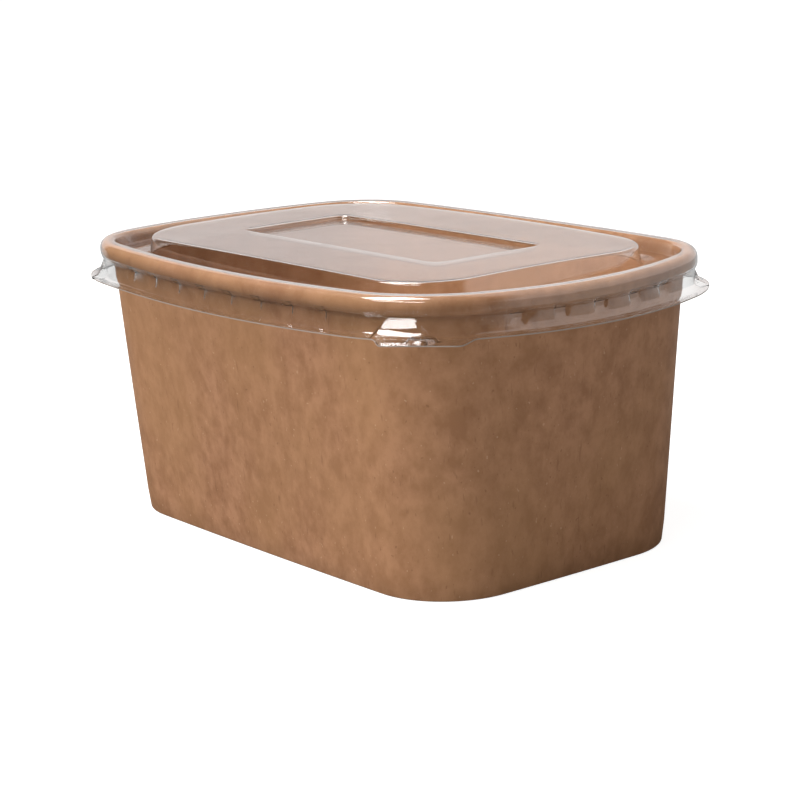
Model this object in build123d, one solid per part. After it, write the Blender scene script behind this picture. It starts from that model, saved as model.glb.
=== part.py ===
from build123d import *

import math
import os

# Rectangular salad container of kraft board with a clear thermoformed lid, in millimetres.
# Frame: origin at the centre of the edge it stands on, X along its long side, +Z up.

# Rim, measured over the outside of the rolled bead; its ends and sides bow outward a little
rim_length = 171.2
rim_width = 117.2
rim_height = 78.8
rim_corner = 30.1
rim_end_radius = 109.6
rim_side_radius = 419.6

# Foot, measured over the outside of the wall at the edge it stands on
foot_length = 146.7
foot_width = 92.0
foot_corner = 22.4
foot_end_radius = 1500.0
foot_side_radius = 3000.0

# Board, and the bead rolled from the wall's top edge
board = 0.45
bead_width = 3.6
bead_height = 4.9
curl_gap = 0.12

# Hem folded in and up at the foot, which grips the turned edge of the base panel
base_level = 5.1
base_bend_radius = 0.4
hem_flare = 0.13
hem_play = 0.08
hem_fold_radius = 0.42
hem_leg_clearance = 0.35
hem_shoulder = 0.4

# Glued lap of the blank, at the middle of the back long side
seam_width = 9.0
seam_clearance = 0.2

# Lid film, and how the channel sits over the bead
film = 0.3
bead_play = 0.1
skirt_draft = 0.07
flange_reach = 3.35
flare_radius = 2.0

# Moat between the channel and the plateau
moat_depth = 3.9
plug_draft = 0.12
moat_radius = 0.7
moat_ledge = 2.0

# Plateau, whose top edge is set in from the rim's outline
plateau_end_inset = 19.0
plateau_side_inset = 14.25
plateau_corner = 20.3
plateau_end_radius = 2500.0
plateau_side_radius = 1000.0
plateau_rise = 5.55
plateau_draft = 0.1
plateau_round = 0.7
plateau_ledge = 2.5

# Recess, whose top edge is set in from the plateau's top edge
recess_end_inset = 23.3
recess_side_inset = 26.2
recess_corner = 3.2
recess_side_radius = 5000.0
recess_depth = 2.65
recess_draft = 0.27
recess_round = 0.7
recess_ledge = 1.8

# Snap lugs dented inward from the skirt, under the bead, with tapered flanks
lug_pitch = 12.5
lug_length = 2.8
lug_width = 1.5
lug_taper = 0.8
lug_play = 0.12
lug_gap = 0.5
lug_foot = 1.9

# Wide lug that follows each corner, close under the bead
corner_lug_turn = 23.0
corner_lug_height = 1.8
corner_lug_flank = 0.35

# Lift tab at the corner between the +X end and the -Y side, with a raised grip
tab_reach = 8.0
tab_root_width = 25.0
tab_tip_width = 20.0
tab_tip_radius = 6.5
tab_blend_radius = 3.0
tab_direction = -45.0
tab_overlap = 0.4
grip_radius = 4.0
grip_rise = 1.2
grip_inset = 5.0


class Outline:
    """Rounded rectangle with bowed sides, from which parallel outlines are taken."""

    def __init__(self, length, width, corner, end_radius, side_radius):
        self.half_length = length / 2
        self.corner = corner
        self.end_radius = end_radius
        self.side_radius = side_radius
        self.end_centre = length / 2 - end_radius
        self.side_centre = width / 2 - side_radius
        # The corner's centre is where one arc can be tangent to both bowed sides
        span = math.hypot(self.end_centre, self.side_centre)
        to_end = end_radius - corner
        to_side = side_radius - corner
        along = (to_end**2 - to_side**2 + span**2) / (2 * span)
        across = math.sqrt(to_end**2 - along**2)
        run = -self.end_centre / span
        rise = self.side_centre / span
        self.corner_x = self.end_centre + along * run - across * rise
        self.corner_y = along * rise + across * run
        end_direction = Vector(self.corner_x - self.end_centre, self.corner_y)
        side_direction = Vector(self.corner_x, self.corner_y - self.side_centre)
        self.end_angle = math.degrees(math.atan2(end_direction.Y, end_direction.X))
        self.side_angle = math.degrees(math.atan2(side_direction.Y, side_direction.X))

    def wire(self, outward, level):
        """Closed outline, moved outward, that starts at the middle of the +X end."""
        end = self.end_radius + outward
        side = self.side_radius + outward
        corner = self.corner + outward
        corner_turn = self.side_angle - self.end_angle
        side_turn = 180 - 2 * self.side_angle
        x = self.corner_x
        y = self.corner_y
        arcs = [
            CenterArc((self.end_centre, 0), end, 0, self.end_angle),
            CenterArc((x, y), corner, self.end_angle, corner_turn),
            CenterArc((0, self.side_centre), side, self.side_angle, side_turn),
            CenterArc((-x, y), corner, 180 - self.side_angle, corner_turn),
            CenterArc((-self.end_centre, 0), end, 180 - self.end_angle, 2 * self.end_angle),
            CenterArc((-x, -y), corner, 180 + self.end_angle, corner_turn),
            CenterArc((0, -self.side_centre), side, 180 + self.side_angle, side_turn),
            CenterArc((x, -y), corner, 360 - self.side_angle, corner_turn),
            CenterArc((self.end_centre, 0), end, -self.end_angle, self.end_angle),
        ]
        return Pos(0, 0, level) * Wire(arcs)

    def face(self, outward, level):
        return Face(self.wire(outward, level))


plateau_length = rim_length - 2 * plateau_end_inset
plateau_width = rim_width - 2 * plateau_side_inset
recess_length = plateau_length - 2 * recess_end_inset
recess_width = plateau_width - 2 * recess_side_inset
rim = Outline(rim_length, rim_width, rim_corner, rim_end_radius, rim_side_radius)
foot = Outline(foot_length, foot_width, foot_corner, foot_end_radius, foot_side_radius)
plateau = Outline(
    plateau_length, plateau_width, plateau_corner, plateau_end_radius, plateau_side_radius
)
recess = Outline(
    recess_length, recess_width, recess_corner, recess_side_radius, recess_side_radius
)


def between(lower, upper):
    """Solid with straight walls between two outlines."""
    return Solid.make_loft([lower, upper], ruled=True)


def swept(outline, level, section):
    """Section drawn outward and upward from the outline, carried round it at a level."""
    start = Plane((outline.half_length, 0, level), x_dir=(1, 0, 0), z_dir=(0, -1, 0))
    return sweep(start * section, path=outline.wire(0, level))


def film_section(points, radii):
    """Section of the film, whose lower face follows the points from outside to inside."""
    line = FilletPolyline(*points, radius=radii)
    return make_face(offset(line, amount=film, side=Side.RIGHT))


def film_plate(outer, inner=None):
    """Flat stretch of film on top of a face, with a hole where an inner face is given."""
    sheet = outer if inner is None else outer - inner
    return extrude(sheet, amount=film, dir=(0, 0, 1))


# Sidewall: wall, bead, hem and lap seam of one board blank

hem_height = base_level + hem_shoulder
hem_leg_height = base_level - board - hem_leg_clearance
curl_level = rim_height - bead_width / 2
wall_top = rim.wire(board - bead_width, curl_level)
wall_foot = foot.wire(hem_flare * hem_height, hem_height)


def curl_section():
    """Board rolled outward and under, with its cut edge tucked beside the wall."""
    outer = bead_width / 2
    inner = outer - board
    centre = Vector(-outer, -outer)
    low_centre = centre - Vector(0, bead_height - bead_width)
    tuck = 180 - math.degrees(math.acos((outer - board - curl_gap) / outer))
    top_outer = CenterArc(centre, outer, 180, -180)
    low_outer = CenterArc(low_centre, outer, 0, -tuck)
    low_inner = CenterArc(low_centre, inner, -tuck, tuck)
    top_inner = CenterArc(centre, inner, 0, 180)
    edges = [
        top_outer,
        Line(top_outer @ 1, low_outer @ 0),
        low_outer,
        Line(low_outer @ 1, low_inner @ 0),
        low_inner,
        Line(low_inner @ 1, top_inner @ 0),
        top_inner,
        Line(top_inner @ 1, top_outer @ 0),
    ]
    return make_face(edges)


def hem_section():
    """Foot of the wall, the fold, and the leg turned up inside the slot for the base panel."""
    slot = board + 2 * hem_play
    lean = Vector(hem_flare, 1)
    inward = Vector(-1, 0)
    points = [
        Vector(0, 0),
        lean * hem_height,
        lean * hem_height + inward * board,
        lean * board + inward * board,
        lean * board + inward * (board + slot),
        lean * hem_leg_height + inward * (board + slot),
        lean * hem_leg_height + inward * (2 * board + slot),
        inward * (2 * board + slot),
    ]
    profile = make_face(Polyline(*points, close=True))
    fold = profile.vertices().filter_by_position(Axis.Y, -board / 2, board / 2)
    return fillet(fold, hem_fold_radius)


def seam_strip():
    """Second layer of board where the blank's ends lap, from the foot to just under the bead."""
    top = rim_height - bead_height - seam_clearance
    upper_wall = between(wall_foot, wall_top)
    lower_wall = between(foot.wire(0, 0), wall_foot)
    lap_foot = foot.wire(hem_flare * hem_height + board, hem_height)
    upper_lap = between(lap_foot, rim.wire(2 * board - bead_width, curl_level))
    lower_lap = between(foot.wire(board, 0), lap_foot)
    window = Pos(0, rim_width / 4, top / 2) * Box(seam_width, rim_width / 2, top)
    return ((upper_lap - upper_wall) & window) + ((lower_lap - lower_wall) & window)


def make_sidewall():
    cavity_foot = foot.wire(hem_flare * hem_height - board, hem_height)
    cavity_top = rim.wire(-bead_width, curl_level)
    wall = between(wall_foot, wall_top) - between(cavity_foot, cavity_top)
    bead = swept(rim, rim_height, curl_section())
    hem = swept(foot, 0, hem_section())
    return wall + bead + hem + seam_strip()


# Base panel: flat board whose turned edge hangs in the hem's slot


def make_base_panel():
    edge = board + hem_play
    underside = base_level - board
    outer = between(
        foot.wire(hem_flare * edge - edge, edge),
        foot.wire(hem_flare * base_level - edge, base_level),
    )
    inner = between(
        foot.wire(hem_flare * edge - edge - board, edge),
        foot.wire(hem_flare * underside - edge - board, underside),
    )
    bend = outer.edges().group_by(Axis.Z)[-1]
    return fillet(bend, base_bend_radius) - inner


# Lid: one sheet of film

lug_drop = bead_height + lug_gap + lug_length / 2
flange_level = rim_height - lug_drop - lug_length / 2 - lug_foot
moat_level = rim_height + bead_play - moat_depth
plateau_level = moat_level + plateau_rise
recess_level = plateau_level - recess_depth
channel_width = bead_width + 2 * bead_play
moat_edge = -bead_width - bead_play - moat_ledge


def channel_section():
    """Flange, flaring skirt, channel over the bead and the plug wall down to the moat."""
    top = rim_height + bead_play
    skirt_out = bead_play + skirt_draft * (top - flange_level)
    plug_in = bead_play - channel_width - plug_draft * (top - moat_level)
    points = [
        (flange_reach, flange_level),
        (skirt_out, flange_level),
        (bead_play, top),
        (bead_play - channel_width, top),
        (plug_in, moat_level),
        (moat_edge, moat_level),
    ]
    crown = bead_width / 2
    return film_section(points, [flare_radius, crown, crown, moat_radius])


def plateau_section():
    """Moat floor, plateau wall and the start of the plateau's top."""
    points = [
        (plateau_ledge, 0),
        (plateau_draft * plateau_rise - film, 0),
        (-film, plateau_rise),
        (-plateau_ledge, plateau_rise),
    ]
    return film_section(points, [plateau_round, plateau_round])


def recess_section():
    """Plateau's top, the recess wall and the start of the recess floor."""
    points = [
        (recess_ledge, 0),
        (film, 0),
        (film - recess_draft * recess_depth, -recess_depth),
        (-recess_ledge, -recess_depth),
    ]
    return film_section(points, [recess_round, recess_round])


def lug_places():
    """Place of each lug in the skirt's middle, with the local X axis facing outward."""
    middle = bead_play + skirt_draft * lug_drop + film / 2
    level = rim_height - lug_drop
    lean = Rot(0, -math.degrees(math.atan(skirt_draft)), 0)
    rows = [
        (rim.corner_y, rim.end_centre, rim.end_radius, 0),
        (rim.corner_x, rim.side_centre, rim.side_radius, 90),
    ]
    places = []
    for half_run, centre, radius, facing in rows:
        full_run = 2 * half_run * radius / (radius - rim.corner)
        count = math.floor(full_run / lug_pitch)
        for i in range(count):
            run = (i - (count - 1) / 2) * lug_pitch
            turn = math.degrees(math.asin(run / radius))
            for opposite in (0, 180):
                bow = Rot(0, 0, facing + opposite) * Pos(centre, 0, level) * Rot(0, 0, turn)
                places.append(bow * Pos(radius + middle, 0, 0) * lean)
    return places


def lug_block(back, front, width, length, taper):
    """Block with tapered flanks that narrows from its back to its front, towards the tub."""
    facing = {"x_dir": (0, 1, 0), "z_dir": (-1, 0, 0)}
    root = Plane((back, 0, 0), **facing) * Rectangle(width, length)
    tip = Plane((front, 0, 0), **facing) * Rectangle(width - taper, length - taper)
    return loft([root.face(), tip.face()], ruled=True)


def corner_lug(back, front, flank):
    """Lug at the tab's corner, turned about the corner's centre, between two distances from the rim."""
    top = rim_height - bead_height - lug_gap
    foot_level = top - corner_lug_height
    points = [
        (rim.corner + back, top),
        (rim.corner + front, top - flank),
        (rim.corner + front, foot_level + flank),
        (rim.corner + back, foot_level),
    ]
    profile = Plane.XZ * make_face(Polyline(*points, close=True))
    lug = revolve(profile, Axis.Z, revolution_arc=corner_lug_turn)
    turned = Rot(0, 0, tab_direction - corner_lug_turn / 2) * lug
    return Pos(rim.corner_x, -rim.corner_y, 0) * turned


def at_corners(shape):
    """The shape at one corner, mirrored to all four."""
    pair = [shape, mirror(shape, about=Plane.XZ)]
    return pair + [mirror(half, about=Plane.YZ) for half in pair]


def tab_blank():
    """Outline of the tab grown out of the flange, blended into it at both roots."""
    root = rim.corner + flange_reach
    tip = root + tab_reach
    corner = Location((rim.corner_x, -rim.corner_y, flange_level), (0, 0, tab_direction))
    points = [
        (rim.corner, -tab_root_width / 2),
        (tip, -tab_tip_width / 2),
        (tip, tab_tip_width / 2),
        (rim.corner, tab_root_width / 2),
    ]
    tab = make_face(Polyline(*points, close=True))
    tab = fillet(tab.vertices().group_by(Axis.X)[-1], tab_tip_radius)
    flange = corner.inverse() * rim.face(flange_reach, flange_level)
    joined = flange + tab
    near_root = joined.vertices().sort_by(lambda v: abs(math.hypot(v.X, v.Y) - root))[:4]
    joined = fillet(near_root.sort_by(lambda v: abs(v.Y))[:2], tab_blend_radius)
    return corner * joined - rim.face(flange_reach - tab_overlap, flange_level)


def grip(radius, height):
    reach = rim.corner + flange_reach + tab_reach - grip_inset
    corner = Location((rim.corner_x, -rim.corner_y, flange_level), (0, 0, tab_direction))
    base_align = (Align.CENTER, Align.CENTER, Align.MIN)
    return corner * Pos(reach, 0, 0) * Cylinder(radius, height, align=base_align)


def make_lid():
    lug_depth = bead_play + skirt_draft * lug_drop + film / 2 - lug_play
    lug = lug_block(0, -lug_depth, lug_width, lug_length, lug_taper)
    dent = lug_block(film, film - lug_depth, lug_width, lug_length, lug_taper + film / 2)
    places = lug_places()
    corner_back = bead_play + skirt_draft * (bead_height + lug_gap) + film / 2
    corner_lugs = at_corners(corner_lug(corner_back, lug_play, corner_lug_flank))
    dent_front = lug_play + film
    corner_dents = at_corners(corner_lug(corner_back + film, dent_front, corner_lug_flank + film / 2))
    sheet = [
        swept(rim, 0, channel_section()),
        film_plate(rim.face(moat_edge, moat_level), plateau.face(plateau_ledge, moat_level)),
        swept(plateau, moat_level, plateau_section()),
        film_plate(
            plateau.face(-plateau_ledge, plateau_level), recess.face(recess_ledge, plateau_level)
        ),
        swept(recess, plateau_level, recess_section()),
        film_plate(recess.face(-recess_ledge, recess_level)),
        film_plate(tab_blank()),
        grip(grip_radius, grip_rise + film),
    ]
    formed = Part() + sheet + [place * lug for place in places] + corner_lugs
    dents = [place * dent for place in places] + corner_dents
    return formed - dents - grip(grip_radius - film, grip_rise)


os.makedirs("parts", exist_ok=True)
export_step(make_sidewall(), "parts/sidewall.step")
export_step(make_base_panel(), "parts/base_panel.step")
export_step(make_lid(), "parts/lid.step")
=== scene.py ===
import math

import bpy
import numpy as np
from mathutils import Matrix, Vector


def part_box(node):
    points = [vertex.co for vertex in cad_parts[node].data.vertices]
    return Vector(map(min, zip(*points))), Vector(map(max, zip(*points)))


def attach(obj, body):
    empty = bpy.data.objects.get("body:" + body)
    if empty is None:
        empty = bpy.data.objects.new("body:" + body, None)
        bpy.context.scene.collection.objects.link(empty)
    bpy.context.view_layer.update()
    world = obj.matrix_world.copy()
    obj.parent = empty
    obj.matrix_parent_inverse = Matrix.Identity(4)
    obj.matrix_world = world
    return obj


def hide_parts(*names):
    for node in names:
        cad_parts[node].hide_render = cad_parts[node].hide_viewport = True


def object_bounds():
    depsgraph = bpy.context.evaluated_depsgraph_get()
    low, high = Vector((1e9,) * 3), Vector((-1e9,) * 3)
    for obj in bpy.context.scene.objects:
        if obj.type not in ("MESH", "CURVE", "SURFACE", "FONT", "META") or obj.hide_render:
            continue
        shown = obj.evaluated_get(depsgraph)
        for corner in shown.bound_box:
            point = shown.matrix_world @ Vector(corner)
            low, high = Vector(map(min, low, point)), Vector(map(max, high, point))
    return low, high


bl_info = {
    "name": "Kraft salad container",
    "version": (1, 0, 0),
    "blender": (4, 5, 0),
    "location": "3D View > Sidebar > Salad container",
    "description": "Board tub, clear formed lid and a plain studio",
    "category": "Object",
}

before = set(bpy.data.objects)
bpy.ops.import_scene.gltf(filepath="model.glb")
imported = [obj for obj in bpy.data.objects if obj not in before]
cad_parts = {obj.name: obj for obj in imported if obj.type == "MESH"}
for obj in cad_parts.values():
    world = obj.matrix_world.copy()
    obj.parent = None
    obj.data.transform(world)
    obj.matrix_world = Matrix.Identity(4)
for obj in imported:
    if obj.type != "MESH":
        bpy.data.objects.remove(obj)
CAD_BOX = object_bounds()
TUB_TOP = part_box("sidewall")[1].z
BASE_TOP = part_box("base_panel")[1].z
LID_LOW, LID_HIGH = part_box("lid")
MM = 0.001
# Share of the rim's corner rise by which the middles of its sides sink
RIM_SINK = 0.2
# Name of the board's material, which two pieces share
BOARD_MATERIAL = "kraft_board_pressed_pulp"
# Brightness of the white surroundings: on matt board, and behind clear film
FILL = 0.38
SEEN_THROUGH_FILM = 0.95
# Brightness of what the film mirrors: the dim room, the backdrop's left and right, and the floor
DIM_ROOM = 0.03
LEFT_BACKDROP = 0.84
RIGHT_BACKDROP = 1.2
PALE_FLOOR = 0.56
# What lifts the lit floor to white for the camera
FLOOR_LIFT = 0.85


def length(name, description, default, **more):
    """A size in metres that the sidebar shows as a length."""
    return bpy.props.FloatProperty(
        name=name, description=description, default=default, unit="LENGTH", precision=5, **more
    )


def hex_colour(name, description, default):
    """A colour as an sRGB hex value."""
    return bpy.props.StringProperty(name=name, description=description, default=default)


class TubSettings(bpy.types.PropertyGroup):
    """Sizes and colours of the board tub."""

    rim_length: length("Rim length", "Over the outside of the rolled bead", 0.1712)
    rim_width: length("Rim width", "Over the outside of the rolled bead", 0.1172)
    rim_corner: length("Rim corner", "Corner radius of the bead's outside", 0.0301)
    rim_end_radius: length("Rim end bow", "Radius of the bowed short sides", 0.1096)
    rim_side_radius: length("Rim side bow", "Radius of the bowed long sides", 0.4196)
    foot_length: length("Foot length", "Over the outside of the wall at its foot", 0.1467)
    foot_width: length("Foot width", "Over the outside of the wall at its foot", 0.092)
    foot_corner: length("Foot corner", "Corner radius of the wall at its foot", 0.0224)
    foot_end_radius: length("Foot end bow", "Radius of the short sides at the foot", 1.5)
    foot_side_radius: length("Foot side bow", "Radius of the long sides at the foot", 3.0)
    board: length("Board", "Thickness of the board", 0.00045)
    bead_width: length("Bead width", "Width of the rolled bead", 0.0036)
    bead_height: length("Bead height", "Height of the rolled bead", 0.0049)
    hem_flare: bpy.props.FloatProperty(
        name="Hem flare", description="Outward lean of the wall at its foot", default=0.13
    )
    corner_rise: length("Corner rise", "How far the rim's corners stand above its sides", 0.00065)
    seam_width: length("Seam width", "Width of the glued lap at the back", 0.009)
    wave: length("Board wave", "How far the board strays from flat", 0.00012)
    light_board: hex_colour("Light board", "Paler fibres of the kraft board", "AB7D5C")
    dark_board: hex_colour("Dark board", "Darker fibres of the kraft board", "946848")
    warm_board: hex_colour("Warm board", "Drifts of yellower pulp", "A57A52")
    bark: hex_colour("Bark", "Dark fibres and specks", "704A31")
    pale_fibre: hex_colour("Pale fibre", "Pale specks", "CDA887")


class LidSettings(bpy.types.PropertyGroup):
    """Sizes and colours of the clear lid."""

    film: length("Film", "Thickness of the formed film", 0.0003)
    bead_play: length("Bead play", "Gap between the film and the bead", 0.0001)
    flange_reach: length("Flange reach", "How far the flange stands out from the bead", 0.00335)
    moat_depth: length("Moat depth", "Depth of the moat below the channel", 0.0039)
    plateau_end_inset: length("Plateau end inset", "From the bead's end to the plateau", 0.019)
    plateau_side_inset: length("Plateau side inset", "From the bead's side to the plateau", 0.01425)
    plateau_corner: length("Plateau corner", "Corner radius of the plateau", 0.0203)
    recess_end_inset: length("Recess end inset", "From the plateau's end to the recess", 0.0233)
    recess_side_inset: length("Recess side inset", "From the plateau's side to the recess", 0.0262)
    recess_corner: length("Recess corner", "Corner radius of the recess", 0.0032)
    recess_depth: length("Recess depth", "Depth of the recess", 0.0015)
    lug_pitch: length("Lug pitch", "Spacing of the snap lugs", 0.0125)
    lug_width: length("Lug width", "Width of a snap lug at its top", 0.0044)
    lug_depth: length("Lug depth", "How far a lug is dented inward", 0.0007)
    plateau_droop: length("Plateau droop", "How far the plateau's corners sink", 0.0005)
    tab_reach: length("Tab reach", "How far the lift tab stands out from the flange", 0.008)
    grip_radius: length("Grip radius", "Radius of the raised grip on the tab", 0.004)
    grip_rise: length("Grip rise", "Height of the raised grip on the tab", 0.0012)
    film_tint: hex_colour("Film tint", "Colour of light that passes through the film", "FBFBFA")
    # Pale warm grey painted on the opaque, frosted cut edge: a painted glint of the light that the
    # clear edge catches
    edge_glint_colour: hex_colour("Cut edge", "Frosted edge that the cutting die leaves", "978A80")


class StudioSettings(bpy.types.PropertyGroup):
    """Camera, lamps and floor."""

    azimuth: bpy.props.FloatProperty(
        name="Azimuth", description="Camera's turn round the tub", default=math.radians(51.75),
        subtype="ANGLE",
    )
    elevation: bpy.props.FloatProperty(
        name="Elevation", description="Camera's height angle", default=math.radians(13.15),
        subtype="ANGLE",
    )
    roll: bpy.props.FloatProperty(
        name="Roll", description="Camera's tilt about its own axis", default=math.radians(-1.98),
        subtype="ANGLE",
    )
    distance: length("Distance", "From the camera to the point that it aims at", 0.6187)
    aim: bpy.props.FloatVectorProperty(
        name="Aim", description="Point that the camera aims at", default=(0.00135, 0.0017, 0.03443),
        subtype="TRANSLATION",
    )
    lens: bpy.props.FloatProperty(
        name="Lens", description="Focal length on a 36 mm wide sensor", default=99.32, unit="CAMERA"
    )
    floor_colour: hex_colour("Floor", "Plain pale floor", "B4B3B1")
    backdrop: hex_colour("Backdrop", "White seen behind the tub and through the film", "FFFFFF")
    mirrored_backdrop: hex_colour("Mirrored backdrop", "Warm white mirrored in the film", "FBF1EE")


def linear(code):
    """Linear RGBA of an sRGB hex value."""
    channels = [int(code[i : i + 2], 16) / 255 for i in (0, 2, 4)]
    return [c / 12.92 if c <= 0.04045 else ((c + 0.055) / 1.055) ** 2.4 for c in channels] + [1.0]


def add_node(tree, kind, settings=None, **links):
    """New node with its settings, and its inputs set to values or linked to outputs."""
    node = tree.nodes.new(kind)
    for name, value in (settings or {}).items():
        setattr(node, name, value)
    for name, value in links.items():
        by_index = name[0] == "i" and name[1:].isdigit()
        socket = node.inputs[int(name[1:]) if by_index else name]
        if isinstance(value, bpy.types.NodeSocket):
            tree.links.new(value, socket)
        else:
            socket.default_value = value
    return node


def new_material(name):
    """Empty node material and its output node."""
    material = bpy.data.materials.new(name)
    material.use_nodes = True
    material.node_tree.nodes.clear()
    return material, material.node_tree.nodes.new("ShaderNodeOutputMaterial")


class Outline:
    """Rounded rectangle with bowed sides; its stations pair up with any other outline's."""

    def __init__(self, full_length, full_width, corner, end_radius, side_radius, stations):
        end_centre = full_length / 2 - end_radius
        side_centre = full_width / 2 - side_radius
        span = math.hypot(end_centre, side_centre)
        to_end = end_radius - corner
        to_side = side_radius - corner
        along = (to_end**2 - to_side**2 + span**2) / (2 * span)
        across = math.sqrt(to_end**2 - along**2)
        run, rise = -end_centre / span, side_centre / span
        self.corner_x = end_centre + along * run - across * rise
        self.corner_y = along * rise + across * run
        self.corner = corner
        end_angle = math.atan2(self.corner_y, self.corner_x - end_centre)
        side_angle = math.atan2(self.corner_y - side_centre, self.corner_x)
        self.end_angle, self.side_angle = end_angle, side_angle
        turn = side_angle - end_angle
        top = math.pi - 2 * side_angle
        x, y = self.corner_x, self.corner_y
        self.arcs = [
            (end_centre, 0, end_radius, -end_angle, 2 * end_angle),
            (x, y, corner, end_angle, turn),
            (0, side_centre, side_radius, side_angle, top),
            (-x, y, corner, math.pi - side_angle, turn),
            (-end_centre, 0, end_radius, math.pi - end_angle, 2 * end_angle),
            (-x, -y, corner, math.pi + end_angle, turn),
            (0, -side_centre, side_radius, math.pi + side_angle, top),
            (x, -y, corner, 2 * math.pi - side_angle, turn),
        ]
        arcs = np.array([self.arcs[arc] for arc, share in stations])
        shares = np.array([share for arc, share in stations])
        self.angle = arcs[:, 3] + shares * arcs[:, 4]
        self.centre = arcs[:, :2]
        self.radius = arcs[:, 2]

    def ring(self, outward, level):
        """Points of the outline moved outward, at a level."""
        reach = self.radius + outward
        x = self.centre[:, 0] + reach * np.cos(self.angle)
        y = self.centre[:, 1] + reach * np.sin(self.angle)
        return np.stack([x, y, level + 0 * reach], axis=1)


def risen(ring, rise, outline, middle=0.0):
    """The ring with an outline's corners lifted above the middles of its sides."""
    edge = outline.ring(0, 0)
    corner_spread = np.max((edge[:, 0] * edge[:, 1]) ** 2)
    ring = ring.copy()
    ring[:, 2] += rise * ((ring[:, 0] * ring[:, 1]) ** 2 / corner_spread - middle)
    return ring


def even_stations(end, corner, side):
    """Stations spread evenly over the ends, corners and sides."""
    counts = [end, corner, side, corner, end, corner, side, corner]
    return [(arc, i / n) for arc, n in enumerate(counts) for i in range(n)]


def corner_path(points, radii, steps=5):
    """Points of a line in a section, with its inner corners rounded."""
    path = [Vector(points[0])]
    for before, here, after, radius in zip(points, points[1:], points[2:], radii):
        here = Vector(here)
        back = (Vector(before) - here).normalized()
        ahead = (Vector(after) - here).normalized()
        half = back.angle(ahead) / 2
        start = here + back * radius / math.tan(half)
        end = here + ahead * radius / math.tan(half)
        centre = here + (back + ahead).normalized() * radius / math.sin(half)
        for i in range(steps + 1):
            spoke = (start - centre).slerp(end - centre, i / steps)
            path.append(centre + spoke.normalized() * radius)
    path.append(Vector(points[-1]))
    return path


def grid_faces(rows, columns, closed_rows=False):
    """Quads between rings of points, and between the last and the first ring where they close."""
    faces = []
    for row in range(rows if closed_rows else rows - 1):
        start, following = row * columns, (row + 1) % rows * columns
        for column in range(columns):
            beside = (column + 1) % columns
            faces.append((start + column, start + beside, following + beside, following + column))
    return faces


def make_object(name, points, faces, sharp_angle, material, body, node):
    """Mesh object that stands for a node of the frame and moves with its body."""
    mesh = bpy.data.meshes.new(name)
    mesh.from_pydata([tuple(p) for p in points], [], faces)
    mesh.update()
    piece = bpy.data.objects.new(name, mesh)
    bpy.context.scene.collection.objects.link(piece)
    mesh.shade_smooth()
    mesh.set_sharp_from_angle(angle=math.radians(sharp_angle))
    mesh.materials.append(material)
    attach(piece, body)
    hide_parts(node)
    return piece


def kraft_board(settings):
    """Uncoated kraft board, pressed brown pulp: matt, cloudy, with fibres and specks of bark."""
    material, output = new_material(BOARD_MATERIAL)
    tree = material.node_tree
    place = add_node(
        tree, "ShaderNodeSeparateXYZ", Vector=add_node(tree, "ShaderNodeTexCoord").outputs["Object"]
    )
    # Undoes the tub's taper, so that the fibres run up the wall
    sides = []
    for axis, foot, rim in (("X", "foot_length", "rim_length"), ("Y", "foot_width", "rim_width")):
        grown = (getattr(settings, rim) / getattr(settings, foot) - 1) / TUB_TOP
        spread = add_node(
            tree, "ShaderNodeMath", {"operation": "MULTIPLY_ADD"}, i0=place.outputs["Z"], i1=grown,
            i2=1.0,
        )
        sides.append(add_node(
            tree, "ShaderNodeMath", {"operation": "DIVIDE"}, i0=place.outputs[axis],
            i1=spread.outputs[0],
        ).outputs[0])
    even = add_node(
        tree, "ShaderNodeCombineXYZ", X=sides[0], Y=sides[1], Z=place.outputs["Z"]
    ).outputs[0]

    def pattern(width, height, detail, roughness):
        """Noise whose patches are about this wide and high."""
        stretched = add_node(tree, "ShaderNodeMapping", Vector=even, Scale=(1, 1, width / height))
        noise = add_node(
            tree, "ShaderNodeTexNoise", Vector=stretched.outputs[0], Scale=0.6 / width,
            Detail=detail, Roughness=roughness,
        )
        return noise.outputs[0]

    def share(noise, start, full, most=1.0):
        """Share of a colour, from none where the noise is at the start to the most."""
        ramp = add_node(tree, "ShaderNodeMapRange", i0=noise, i1=start, i2=full, i4=most)
        return ramp.outputs[0]

    clouds = pattern(0.0026, 0.0038, 4.0, 0.62)
    drifts = pattern(0.016, 0.024, 2.0, 0.5)
    fibres = pattern(0.0006, 0.003, 2.0, 0.5)
    specks = pattern(0.0006, 0.0008, 1.0, 0.5)
    layers = [
        (share(clouds, 0.36, 0.64), settings.light_board),
        (share(drifts, 0.35, 0.65, 0.45), settings.warm_board),
        (share(fibres, 0.66, 0.74, 0.3), settings.bark),
        (share(specks, 0.73, 0.78, 0.4), settings.bark),
        (share(specks, 0.27, 0.22, 0.35), settings.pale_fibre),
    ]
    colour = linear(settings.dark_board)
    for amount, code in layers:
        mix = add_node(
            tree, "ShaderNodeMix", {"data_type": "RGBA"}, i0=amount, i6=colour, i7=linear(code)
        )
        colour = mix.outputs[2]
    bump = add_node(tree, "ShaderNodeBump", Strength=0.12, Distance=0.00006, Height=fibres)
    surface = add_node(
        tree, "ShaderNodeBsdfPrincipled", Roughness=0.62, IOR=1.4, Normal=bump.outputs[0]
    )
    tree.links.new(colour, surface.inputs["Base Color"])
    tree.links.new(surface.outputs[0], output.inputs["Surface"])
    return material


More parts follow.
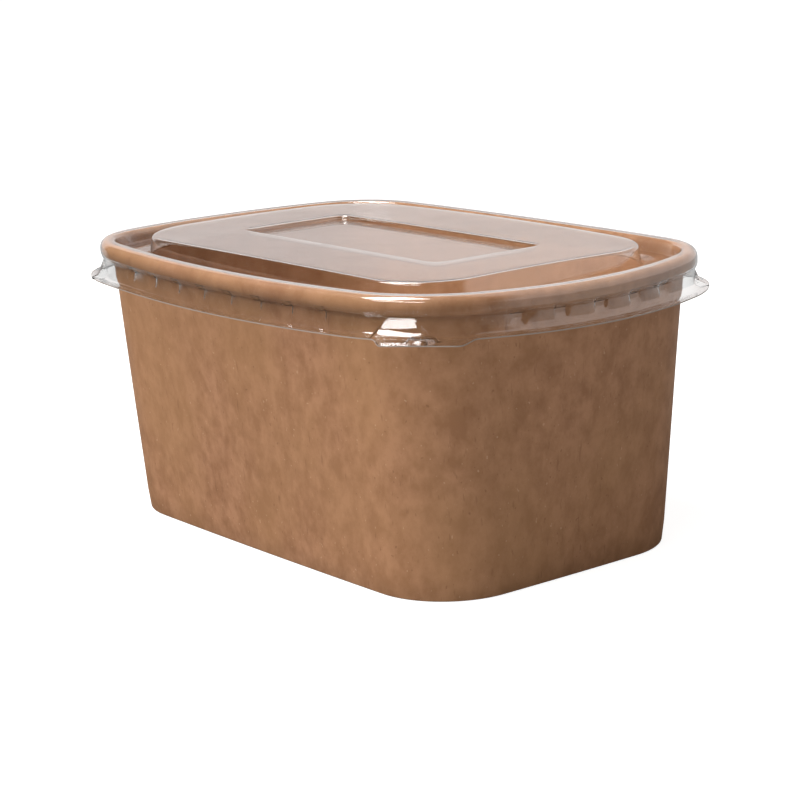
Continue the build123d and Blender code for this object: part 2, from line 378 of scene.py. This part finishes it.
def clear_film(settings):
    """Clear PET film, vacuum-formed: glossy, with ripples that bend its highlights a little."""
    material, output = new_material("clear_pet_vacuum_formed")
    tree = material.node_tree
    place = add_node(tree, "ShaderNodeTexCoord").outputs["Object"]
    # Ripples about 12 mm long, left by the hot film as it cooled
    ripples = add_node(
        tree, "ShaderNodeTexNoise", Vector=place, Scale=1 / 0.012, Detail=1.0, Roughness=0.4
    )
    bump = add_node(
        tree, "ShaderNodeBump", Strength=0.1, Distance=0.0003, Height=ripples.outputs[0]
    )
    surface = add_node(
        tree, "ShaderNodeBsdfPrincipled", Roughness=0.04, IOR=1.57, Normal=bump.outputs[0]
    )
    surface.inputs["Base Color"].default_value = linear(settings.film_tint)
    surface.inputs["Transmission Weight"].default_value = 1.0
    # Lamps shine through the film on to the board
    path = add_node(tree, "ShaderNodeLightPath")
    passed = add_node(
        tree, "ShaderNodeMath", {"operation": "MAXIMUM"},
        i0=path.outputs["Is Shadow Ray"], i1=path.outputs["Is Diffuse Ray"],
    )
    open_air = add_node(tree, "ShaderNodeBsdfTransparent", Color=linear("FCFCFC"))
    mix = add_node(
        tree, "ShaderNodeMixShader", i0=passed.outputs[0], i1=surface.outputs[0],
        i2=open_air.outputs[0],
    )
    tree.links.new(mix.outputs[0], output.inputs["Surface"])
    return material


def edge_with_painted_glint(settings):
    """Sheared edge of the PET film, made opaque and rough like a frosted cut: its pale warm grey is
    a painted glint, which stands in for the light the clear edge catches, so it shows as a pale
    thread.
    """
    material, output = new_material("clear_pet_edge_painted_glint")
    surface = add_node(
        material.node_tree, "ShaderNodeBsdfPrincipled", Roughness=0.5, IOR=1.57,
        **{"Base Color": linear(settings.edge_glint_colour)}
    )
    material.node_tree.links.new(surface.outputs[0], output.inputs["Surface"])
    return material


def tub_outlines(settings, stations):
    """Outlines of the tub's rim and foot on the same stations."""
    rim = Outline(
        settings.rim_length, settings.rim_width, settings.rim_corner, settings.rim_end_radius,
        settings.rim_side_radius, stations,
    )
    foot = Outline(
        settings.foot_length, settings.foot_width, settings.foot_corner, settings.foot_end_radius,
        settings.foot_side_radius, stations,
    )
    return rim, foot


def flared_foot(foot, flare):
    """Rings of the foot, which lean outward with their level."""
    def at_foot(outward, level):
        return foot.ring(outward + flare * level, level)

    return at_foot


class SALAD_OT_sidewall(bpy.types.Operator):
    """Wall, rolled bead, hem and glued lap of one board blank"""

    bl_idname = "salad.sidewall"
    bl_label = "Board sidewall"

    def execute(self, context):
        tub = context.scene.salad_tub
        board = tub.board
        stations = even_stations(20, 22, 30)
        # The lap's edges lie on the middle of the back side
        plain_rim = tub_outlines(tub, stations)[0]
        for edge in (-tub.seam_width / 2, tub.seam_width / 2):
            for step in (-0.00003, 0.00003):
                turn = math.acos((edge + step) / tub.rim_side_radius)
                share = (turn - plain_rim.side_angle) / (math.pi - 2 * plain_rim.side_angle)
                stations.append((2, share))
        stations.sort()
        rim, foot = tub_outlines(tub, stations)
        lap = np.array([
            board if arc == 2 and abs(x) < tub.seam_width / 2 else 0.0
            for (arc, share), x in zip(stations, rim.ring(0, 0)[:, 0])
        ])
        crown = tub.bead_width / 2
        curl_level = TUB_TOP - tub.bead_height / 2
        fold = 0.4 * MM
        hem_height = BASE_TOP + fold
        leg_height = BASE_TOP - board - 0.35 * MM
        slot = board + 0.16 * MM
        rise = tub.corner_rise
        at_foot = flared_foot(foot, tub.hem_flare)

        def on_wall(share, thickness, extra=0.0):
            low = at_foot(-thickness + extra, hem_height)
            high = rim.ring(board - tub.bead_width - thickness + extra, curl_level)
            points = low + (risen(high, rise, rim, RIM_SINK) - low) * share
            # The board strays a little from flat, in waves 0.1 to 0.26 m long
            x, y, z = points[:, 0], points[:, 1], points[:, 2]
            stray = np.sin(x * 52 + z * 31) * np.cos(y * 61 - z * 24) * math.sin(math.pi * share)
            away = np.stack([np.cos(foot.angle), np.sin(foot.angle), 0 * x], axis=1)
            return points + away * (stray * tub.wave)[:, None]

        def curl(layer, angle):
            outward = -crown + (crown - layer) * math.cos(angle)
            level = curl_level + (tub.bead_height / 2 - layer) * math.sin(angle)
            return risen(rim.ring(outward, level), rise, rim, RIM_SINK)

        tuck = math.pi - math.acos((crown - board - 0.12 * MM) / crown)
        steps = 40
        rings = [at_foot(-2 * board - slot, z) for z in np.linspace(fold, leg_height, 4)]
        rings += [at_foot(-board - slot, leg_height), at_foot(-board - slot, board)]
        rings += [at_foot(-board, board), at_foot(-board, BASE_TOP - board)]
        rings += [on_wall(i / steps, board) for i in range(steps + 1)]
        rings += [curl(0, math.pi * (1 - i / 16)) for i in range(1, 17)]
        rings += [curl(0, -tuck * i / 12) for i in range(1, 13)]
        rings += [curl(board, -tuck * (1 - i / 8)) for i in range(9)]
        rings += [curl(board, math.pi * i / 10) for i in range(1, 11)]
        seam_level = TUB_TOP - tub.bead_height - 0.2 * MM
        seam_top = (seam_level - hem_height) / (curl_level - hem_height)
        shares = [1 - (1 - seam_top) * i / 3 for i in range(1, 3)]
        rings += [on_wall(share, 0) for share in shares]
        rings += [on_wall(seam_top + 0.001, 0), on_wall(seam_top, 0, lap)]
        rings += [on_wall(seam_top * (1 - i / steps), 0, lap) for i in range(1, steps + 1)]
        rings += [at_foot(lap, fold)]
        for i in range(1, 4):
            angle = -math.pi / 2 * i / 3
            outward = lap - fold + fold * math.cos(angle)
            rings.append(at_foot(outward, fold + fold * math.sin(angle)))
        for i in range(1, 3):
            angle = -math.pi / 2 * (1 + i / 3)
            outward = -2 * board - slot + fold + fold * math.cos(angle)
            rings.append(at_foot(outward, fold + fold * math.sin(angle)))
        points = np.concatenate(rings)
        faces = grid_faces(len(rings), len(stations), closed_rows=True)
        material = bpy.data.materials.get(BOARD_MATERIAL) or kraft_board(tub)
        piece = make_object("sidewall_board", points, faces, 35, material, "tub", "sidewall")
        return {"FINISHED"}


class SALAD_OT_base_panel(bpy.types.Operator):
    """Flat board base with its edge turned down into the hem"""

    bl_idname = "salad.base_panel"
    bl_label = "Board base panel"

    def execute(self, context):
        tub = context.scene.salad_tub
        board = tub.board
        stations = even_stations(20, 22, 30)
        foot = tub_outlines(tub, stations)[1]
        at_foot = flared_foot(foot, tub.hem_flare)
        edge = board + 0.08 * MM
        top, under = BASE_TOP, BASE_TOP - board

        def inward(ring, share):
            return ring * np.array([1 - share, 1 - share, 1])

        bend = 0.4 * MM
        rim_top = at_foot(-edge - bend, top)
        rings = [inward(rim_top, 0.98 * (1 - i / 8)) for i in range(9)]
        for i in range(1, 4):
            angle = math.pi / 2 * (1 - i / 3)
            outward = -edge - bend + bend * math.cos(angle)
            rings.append(at_foot(outward, top - bend + bend * math.sin(angle)))
        rings += [at_foot(-edge, edge), at_foot(-edge - board, edge)]
        rim_under = at_foot(-edge - board, under)
        rings += [inward(rim_under, 0.98 * i / 8) for i in range(9)]
        count = len(stations)
        points = np.concatenate(rings + [np.array([[0, 0, top], [0, 0, under]])])
        faces = grid_faces(len(rings), count)
        last = (len(rings) - 1) * count
        centre = len(rings) * count
        for i in range(count):
            beside = (i + 1) % count
            faces.append((centre, beside, i))
            faces.append((centre + 1, last + i, last + beside))
        material = bpy.data.materials.get(BOARD_MATERIAL) or kraft_board(tub)
        piece = make_object("base_board", points, faces, 35, material, "tub", "base_panel")
        return {"FINISHED"}


def lid_stations(tub, lid):
    """Stations for the lid, closer together at the snap lugs and at the lift tab."""
    stations = even_stations(12, 22, 16)
    stations = [s for s in stations if s[0] != 7]
    stations += [(7, i / 80) for i in range(80)]
    plain = tub_outlines(tub, even_stations(1, 1, 1))[0]
    rows = [
        ((0, 4), tub.rim_end_radius, plain.end_angle),
        ((2, 6), tub.rim_side_radius, math.pi / 2 - plain.side_angle),
    ]
    lugs = []
    for arcs, radius, half_turn in rows:
        half_run = half_turn * radius
        count = int(2 * half_run / lid.lug_pitch)
        for i in range(count):
            run = (i - (count - 1) / 2) * lid.lug_pitch
            for arc in arcs:
                lugs.append((arc, run, half_run))
                for step in (0.2, 0.5, 0.72, 0.95, 1.2):
                    for place in (run - step * lid.lug_width / 2, run + step * lid.lug_width / 2):
                        stations.append((arc, (place + half_run) / (2 * half_run)))
    stations.sort()
    cleaned = [stations[0]]
    for arc, share in stations[1:]:
        if arc != cleaned[-1][0] or share - cleaned[-1][1] > 0.0008:
            cleaned.append((arc, share))
    return cleaned, lugs


def smooth(share):
    """Eases a share from 0 to 1."""
    share = np.clip(share, 0, 1)
    return share * share * (3 - 2 * share)


def lug_offsets(stations, lugs):
    """Distance along the outline from each station to the middle of its nearest lug."""
    offsets = np.full(len(stations), np.inf)
    for index, (arc, along) in enumerate(stations):
        for lug_arc, run, half_run in lugs:
            if arc == lug_arc:
                away = abs(along * 2 * half_run - half_run - run)
                offsets[index] = min(offsets[index], away)
    return offsets


class SALAD_OT_lid(bpy.types.Operator):
    """Clear formed lid: flange and tab, skirt with snap lugs, channel, moat, plateau and recess"""

    bl_idname = "salad.lid"
    bl_label = "Clear lid"

    def execute(self, context):
        tub, lid = context.scene.salad_tub, context.scene.salad_lid
        film = lid.film
        stations, lugs = lid_stations(tub, lid)
        rim = tub_outlines(tub, stations)[0]
        plateau_length = tub.rim_length - 2 * lid.plateau_end_inset
        plateau_width = tub.rim_width - 2 * lid.plateau_side_inset
        plateau = Outline(plateau_length, plateau_width, lid.plateau_corner, 2.5, 1.0, stations)
        recess = Outline(
            plateau_length - 2 * lid.recess_end_inset, plateau_width - 2 * lid.recess_side_inset,
            lid.recess_corner, 5.0, 5.0, stations,
        )
        channel_top = TUB_TOP + lid.bead_play
        moat = channel_top - lid.moat_depth
        flange = LID_LOW.z
        plateau_level = LID_HIGH.z - film
        lug_offset = lug_offsets(stations, lugs)
        # Each corner's flat lug stands nearer to the long side than to the short one
        from_side = 0.405
        corner_offset = np.array([
            abs(share - (from_side if arc % 4 == 3 else 1 - from_side)) if arc % 2 else 1.0
            for arc, share in stations
        ])

        def corner_lug(height):
            half = np.interp(height, [0.5 * MM, 4.9 * MM, 6.4 * MM], [0.2, 0.116, 0.15])
            return smooth((half - corner_offset) / 0.03 + 0.5)

        # Reach of the flange, which grows into the lift tab at one corner
        root = rim.corner + lid.flange_reach
        tip = root + lid.tab_reach
        turn = np.abs(rim.angle - math.radians(315))
        root_half_width, tip_half_width = 12.5 * MM, 10.0 * MM
        lean = (root_half_width - tip_half_width) / (tip - rim.corner)
        side = (root_half_width + lean * rim.corner) / (np.sin(turn) + lean * np.cos(turn))
        front = tip / np.cos(turn)
        # The tab's corners, and then its root, are softened over about this length
        soft = 1.1 * MM
        tab = -soft * np.log(np.exp(-(side - root) / soft) + np.exp(-(front - root) / soft))
        tab = soft * 0.6 * np.log(1 + np.exp(tab / (soft * 0.6)))
        at_tab = np.array([arc == 7 for arc, share in stations])
        reach = lid.flange_reach + np.where(at_tab, tab, 0)

        def grip_height(ring):
            out = Vector((math.cos(math.radians(-45)), math.sin(math.radians(-45))))
            margin, slope = 1 * MM, 1.1 * MM
            centre = out * (tip - lid.grip_radius - margin)
            x = ring[:, 0] - rim.corner_x - centre.x
            y = ring[:, 1] + rim.corner_y - centre.y
            return smooth((lid.grip_radius - np.hypot(x, y)) / slope) * lid.grip_rise

        # Sections from the flange up the skirt, over the bead and down into the moat
        channel = [
            (lid.bead_play, channel_top),
            (lid.bead_play - tub.bead_width - 2 * lid.bead_play, channel_top),
            (-4.2 * MM, moat),
            (-5.7 * MM, moat),
        ]
        channel_radii = [2.1 * MM, 0.9 * MM, 0.7 * MM]
        plain_skirt = corner_path(
            [
                (2.4 * MM, flange),
                (-0.62 * MM, flange),
                (-0.68 * MM, flange + 4.9 * MM),
                (lid.bead_play, flange + 6.4 * MM),
                *channel,
            ],
            [2.3 * MM, 0.5 * MM, 0.8 * MM, *channel_radii],
            steps=6,
        )
        corner_skirt = corner_path(
            [
                (3.4 * MM, flange),
                (1.15 * MM, flange + 0.45 * MM),
                (-0.85 * MM, flange + 5.0 * MM),
                (lid.bead_play, flange + 6.8 * MM),
                *channel,
            ],
            [4.2 * MM, 0.25 * MM, 0.5 * MM, *channel_radii],
            steps=6,
        )
        # More rows on the skirt's flat, where the lugs are dented
        for path in (plain_skirt, corner_skirt):
            below, above = path[7], path[8]
            path[8:8] = [below.lerp(above, share) for share in (0.2, 0.4, 0.6, 0.8)]
        rings = []
        inside = plain_skirt[0][0] + corner_lug(0) * (corner_skirt[0][0] - plain_skirt[0][0])
        for i in range(14):
            outward = inside + (reach - inside) * (1 - i / 14)
            ring = rim.ring(outward, flange)
            ring[:, 2] += grip_height(ring)
            rings.append(ring)
        for plain, cornered in zip(plain_skirt, corner_skirt):
            share = corner_lug(plain[1] - flange)
            outward = plain[0] + share * (cornered[0] - plain[0])
            level = plain[1] + share * (cornered[1] - plain[1])
            # A lug is deepest and widest right under the bead
            height = plain[1] - flange
            lug_foot, skirt_top, lug_top = 1.9 * MM, 4.9 * MM, 5.35 * MM
            climb = smooth((height - lug_foot) / (1.2 * MM)) * (0.5 + height / (2 * skirt_top))
            dent = climb * smooth((lug_top - height) / (0.5 * MM)) * lid.lug_depth
            half_width = lid.lug_width * (0.32 + 0.16 * min(height / skirt_top, 1.0))
            dent = dent * smooth((half_width - lug_offset) / (0.3 * lid.lug_width) + 0.5)
            ring = rim.ring(outward - dent, 0)
            ring[:, 2] = level
            rings.append(ring)
        rings = [risen(ring, tub.corner_rise, rim, RIM_SINK) for ring in rings]
        wall = corner_path(
            [
                (2.5 * MM, moat),
                (0.1 * (plateau_level - moat), moat),
                (-film, plateau_level),
                (-2.5 * MM, plateau_level),
            ],
            [0.8 * MM, 0.9 * MM],
        )
        outer, inner = rings[-1], plateau.ring(2.5 * MM, moat)
        rings += [outer + (inner - outer) * share for share in (0.33, 0.67)]
        top_rings = [plateau.ring(outward, level) for outward, level in wall]
        step = corner_path(
            [
                (1.8 * MM, plateau_level),
                (film, plateau_level),
                (film - 0.27 * lid.recess_depth, plateau_level - lid.recess_depth),
                (-1.8 * MM, plateau_level - lid.recess_depth),
            ],
            [0.8 * MM, 0.7 * MM],
        )
        outer, inner = top_rings[-1], recess.ring(1.8 * MM, plateau_level)
        top_rings += [outer + (inner - outer) * i / 4 for i in range(1, 4)]
        top_rings += [recess.ring(outward, level) for outward, level in step]
        outer = top_rings[-1]
        top_rings += [outer * np.array([1 - i / 4, 1 - i / 4, 1]) for i in range(1, 4)]
        rings += [risen(ring, -lid.plateau_droop, plateau) for ring in top_rings]

        lower = np.stack(rings)
        around = np.roll(lower, -1, axis=1) - np.roll(lower, 1, axis=1)
        across = np.gradient(lower, axis=0)
        normal = np.cross(around, across)
        normal /= np.linalg.norm(normal, axis=2, keepdims=True)
        normal *= np.sign(normal[-1, 0, 2])
        upper = lower + normal * film
        rows, count = len(rings), len(stations)
        centre_level = lower[-1, 0, 2]
        points = np.concatenate([
            lower.reshape(-1, 3), upper.reshape(-1, 3),
            np.array([[0, 0, centre_level], [0, 0, centre_level + film]]),
        ])
        shift = rows * count
        faces = [face[::-1] for face in grid_faces(rows, count)]
        faces += [tuple(i + shift for i in face) for face in grid_faces(rows, count)]
        last = (rows - 1) * count
        cut_faces = len(faces)
        for i in range(count):
            beside = (i + 1) % count
            faces.append((i, beside, beside + shift, i + shift))
            faces.append((2 * shift, last + beside, last + i))
            faces.append((2 * shift + 1, shift + last + i, shift + last + beside))
        piece = make_object("lid_film", points, faces, 50, clear_film(lid), "lid", "lid")
        # The cut edge gets the pale warm grey of the painted glint
        piece.data.materials.append(edge_with_painted_glint(lid))
        for i in range(count):
            piece.data.polygons[cut_faces + 3 * i].material_index = 1
        return {"FINISHED"}


def aim_at(thing, place, target, roll=0.0):
    """Places a camera or lamp so that it looks at a point."""
    back = (place - target).normalized()
    turn = back.to_track_quat("Z", "Y").to_matrix().to_4x4()
    thing.matrix_world = Matrix.Translation(place) @ turn @ Matrix.Rotation(roll, 4, "Z")


def seen_share(tree, path):
    """1 for rays from the camera, a little less for those through film and 0 for the others."""
    passed = add_node(
        tree, "ShaderNodeMath", {"operation": "MULTIPLY"}, i0=path.outputs["Is Transmission Ray"],
        i1=SEEN_THROUGH_FILM,
    )
    return add_node(
        tree, "ShaderNodeMath", {"operation": "MAXIMUM"}, i0=path.outputs["Is Camera Ray"],
        i1=passed.outputs[0],
    ).outputs[0]


def mirror_share(tree, path):
    """1 for rays that a glossy surface mirrored, 0 for others, such as those through film."""
    return add_node(
        tree, "ShaderNodeMath", {"operation": "MINIMUM"}, i0=path.outputs["Is Glossy Ray"],
        i1=path.outputs["Glossy Depth"],
    ).outputs[0]


def backdrop_share(tree, vector, blur):
    """Share of the backdrop along a vector: 1 behind the tub and to its right, 0 in front."""
    behind = math.radians(100)
    facing = add_node(
        tree, "ShaderNodeVectorMath", {"operation": "DOT_PRODUCT"},
        i0=vector, i1=(math.cos(behind), math.sin(behind), 0),
    )
    share = add_node(
        tree, "ShaderNodeMapRange", i0=facing.outputs["Value"], i1=-0.05 - blur, i2=-0.05 + blur
    )
    return share.outputs[0]


class SALAD_OT_studio(bpy.types.Operator):
    """Camera at the photograph's angle, soft lamps, white surroundings and a pale floor"""

    bl_idname = "salad.studio"
    bl_label = "Studio"

    def execute(self, context):
        scene = context.scene
        studio = scene.salad_studio
        scene.view_settings.view_transform = "Standard"

        camera = bpy.data.objects.new("camera", bpy.data.cameras.new("camera"))
        scene.collection.objects.link(camera)
        camera.data.sensor_width = 36
        camera.data.lens = studio.lens
        camera.data.clip_start = 0.01
        aim = Vector(studio.aim)
        back = Vector((
            math.sin(studio.azimuth) * math.cos(studio.elevation),
            -math.cos(studio.azimuth) * math.cos(studio.elevation),
            math.sin(studio.elevation),
        ))
        aim_at(camera, aim + back * studio.distance, aim, studio.roll)
        scene.camera = camera

        lamps = [
            ("front_strip", (0.2, -0.86, 0.67), 0.9, 0.12, 3.0),
            ("high_softbox", (-0.17, -0.48, 1.05), 0.62, 0.8, 18.0),
        ]
        for name, place, width, height, power in lamps:
            lamp = bpy.data.objects.new(name, bpy.data.lights.new(name, "AREA"))
            scene.collection.objects.link(lamp)
            lamp.data.shape = "RECTANGLE"
            lamp.data.size = width
            lamp.data.size_y = height
            lamp.data.energy = power
            aim_at(lamp, Vector(place), aim)

        world = bpy.data.worlds.new("white_surroundings")
        scene.world = world
        world.use_nodes = True
        tree = world.node_tree
        tree.nodes.clear()
        path = add_node(tree, "ShaderNodeLightPath")
        way = add_node(tree, "ShaderNodeTexCoord").outputs["Generated"]
        # Mirrored in the film: a white backdrop behind, and a dim room in front and overhead
        mirrored = backdrop_share(tree, way, 0.06)
        slant = add_node(
            tree, "ShaderNodeVectorMath", {"operation": "DOT_PRODUCT"}, i0=way,
            i1=(-0.1, 0.9, -0.25),
        )
        low = add_node(tree, "ShaderNodeMapRange", i0=slant.outputs["Value"], i1=-0.05, i2=0.1)
        mirrored = add_node(
            tree, "ShaderNodeMath", {"operation": "MULTIPLY"}, i0=mirrored, i1=low.outputs[0]
        )
        # The backdrop is brighter to the right
        to_right = add_node(
            tree, "ShaderNodeVectorMath", {"operation": "DOT_PRODUCT"}, i0=way, i1=(1, 0, 0)
        )
        level = add_node(
            tree, "ShaderNodeMapRange", i0=to_right.outputs["Value"], i1=-0.6, i2=0.4,
            i3=LEFT_BACKDROP, i4=RIGHT_BACKDROP,
        )
        mirrored = add_node(
            tree, "ShaderNodeMapRange", i0=mirrored.outputs[0], i3=DIM_ROOM, i4=level.outputs[0]
        )
        plain = seen_share(tree, path)
        strength = add_node(tree, "ShaderNodeMapRange", i0=plain, i3=FILL, i4=1.0)
        strength = add_node(
            tree, "ShaderNodeMix", i0=mirror_share(tree, path), i2=strength.outputs[0],
            i3=mirrored.outputs[0],
        )
        colour = add_node(
            tree, "ShaderNodeMix", {"data_type": "RGBA"}, i0=mirror_share(tree, path),
            i6=linear(studio.backdrop), i7=linear(studio.mirrored_backdrop),
        )
        shade = add_node(
            tree, "ShaderNodeBackground", Color=colour.outputs[2], Strength=strength.outputs[0]
        )
        output = add_node(tree, "ShaderNodeOutputWorld")
        tree.links.new(shade.outputs[0], output.inputs["Surface"])

        mesh = bpy.data.meshes.new("floor")
        reach = 12.0
        corners = [(-reach, -reach, 0), (reach, -reach, 0), (reach, reach, 0), (-reach, reach, 0)]
        mesh.from_pydata(corners, [], [(0, 1, 2, 3)])
        floor = bpy.data.objects.new("floor", mesh)
        scene.collection.objects.link(floor)
        floor.location.z = CAD_BOX[0][2] - 0.1 * MM
        material, output = new_material("studio_floor_matt_paper")
        tree = material.node_tree
        surface = add_node(
            tree, "ShaderNodeBsdfPrincipled", Roughness=0.9,
            **{"Base Color": linear(studio.floor_colour)}
        )
        # White to the camera, apart from the tub's shadow
        path = add_node(tree, "ShaderNodeLightPath")
        lift = add_node(
            tree, "ShaderNodeMath", {"operation": "MULTIPLY"}, i0=path.outputs["Is Camera Ray"],
            i1=FLOOR_LIFT,
        )
        glow = add_node(tree, "ShaderNodeEmission", Strength=lift.outputs[0])
        white = add_node(tree, "ShaderNodeAddShader", i0=surface.outputs[0], i1=glow.outputs[0])
        # Mirrored in the film the floor glows as a painted reflection: pale behind the tub and dim
        # in front of it, as the room is, and dimmer close round the tub as a painted shadow
        place = add_node(tree, "ShaderNodeTexCoord").outputs["Object"]
        away = add_node(tree, "ShaderNodeVectorMath", {"operation": "LENGTH"}, i0=place)
        # Painted shadow of the tub: the glowing floor is dimmed close round it
        unshaded = add_node(
            tree, "ShaderNodeMapRange", i0=away.outputs["Value"], i1=0.1, i2=0.25
        )
        mirrored = add_node(
            tree, "ShaderNodeMath", {"operation": "MULTIPLY"}, i0=backdrop_share(tree, place, 0.05),
            i1=unshaded.outputs[0],
        )
        mirrored = add_node(
            tree, "ShaderNodeMapRange", i0=mirrored.outputs[0], i3=DIM_ROOM, i4=PALE_FLOOR
        )
        strength = add_node(
            tree, "ShaderNodeMix", i0=mirror_share(tree, path), i2=SEEN_THROUGH_FILM,
            i3=mirrored.outputs[0],
        )
        mirror = add_node(tree, "ShaderNodeEmission", Strength=strength.outputs[0])
        mix = add_node(
            tree, "ShaderNodeMixShader", i0=path.outputs["Is Glossy Ray"], i1=white.outputs[0],
            i2=mirror.outputs[0],
        )
        tree.links.new(mix.outputs[0], output.inputs["Surface"])
        mesh.materials.append(material)
        return {"FINISHED"}


class SALAD_PT_panel(bpy.types.Panel):
    """Lists the container's pieces and its studio"""

    bl_idname = "SALAD_PT_panel"
    bl_label = "Salad container"
    bl_space_type = "VIEW_3D"
    bl_region_type = "UI"
    bl_category = "Salad container"

    def draw(self, context):
        for operator in PIECES:
            self.layout.operator(operator.bl_idname)
        for group in (context.scene.salad_tub, context.scene.salad_lid, context.scene.salad_studio):
            box = self.layout.box()
            for name in group.__annotations__:
                box.prop(group, name)


PIECES = (SALAD_OT_sidewall, SALAD_OT_base_panel, SALAD_OT_lid, SALAD_OT_studio)
CLASSES = (TubSettings, LidSettings, StudioSettings, *PIECES, SALAD_PT_panel)


def register():
    for entry in CLASSES:
        bpy.utils.register_class(entry)
    bpy.types.Scene.salad_tub = bpy.props.PointerProperty(type=TubSettings)
    bpy.types.Scene.salad_lid = bpy.props.PointerProperty(type=LidSettings)
    bpy.types.Scene.salad_studio = bpy.props.PointerProperty(type=StudioSettings)


def unregister():
    del bpy.types.Scene.salad_studio
    del bpy.types.Scene.salad_lid
    del bpy.types.Scene.salad_tub
    for entry in reversed(CLASSES):
        bpy.utils.unregister_class(entry)


def main():
    register()
    bpy.ops.salad.sidewall()
    bpy.ops.salad.base_panel()
    bpy.ops.salad.lid()
    bpy.ops.salad.studio()


if __name__ == "__main__":
    main()
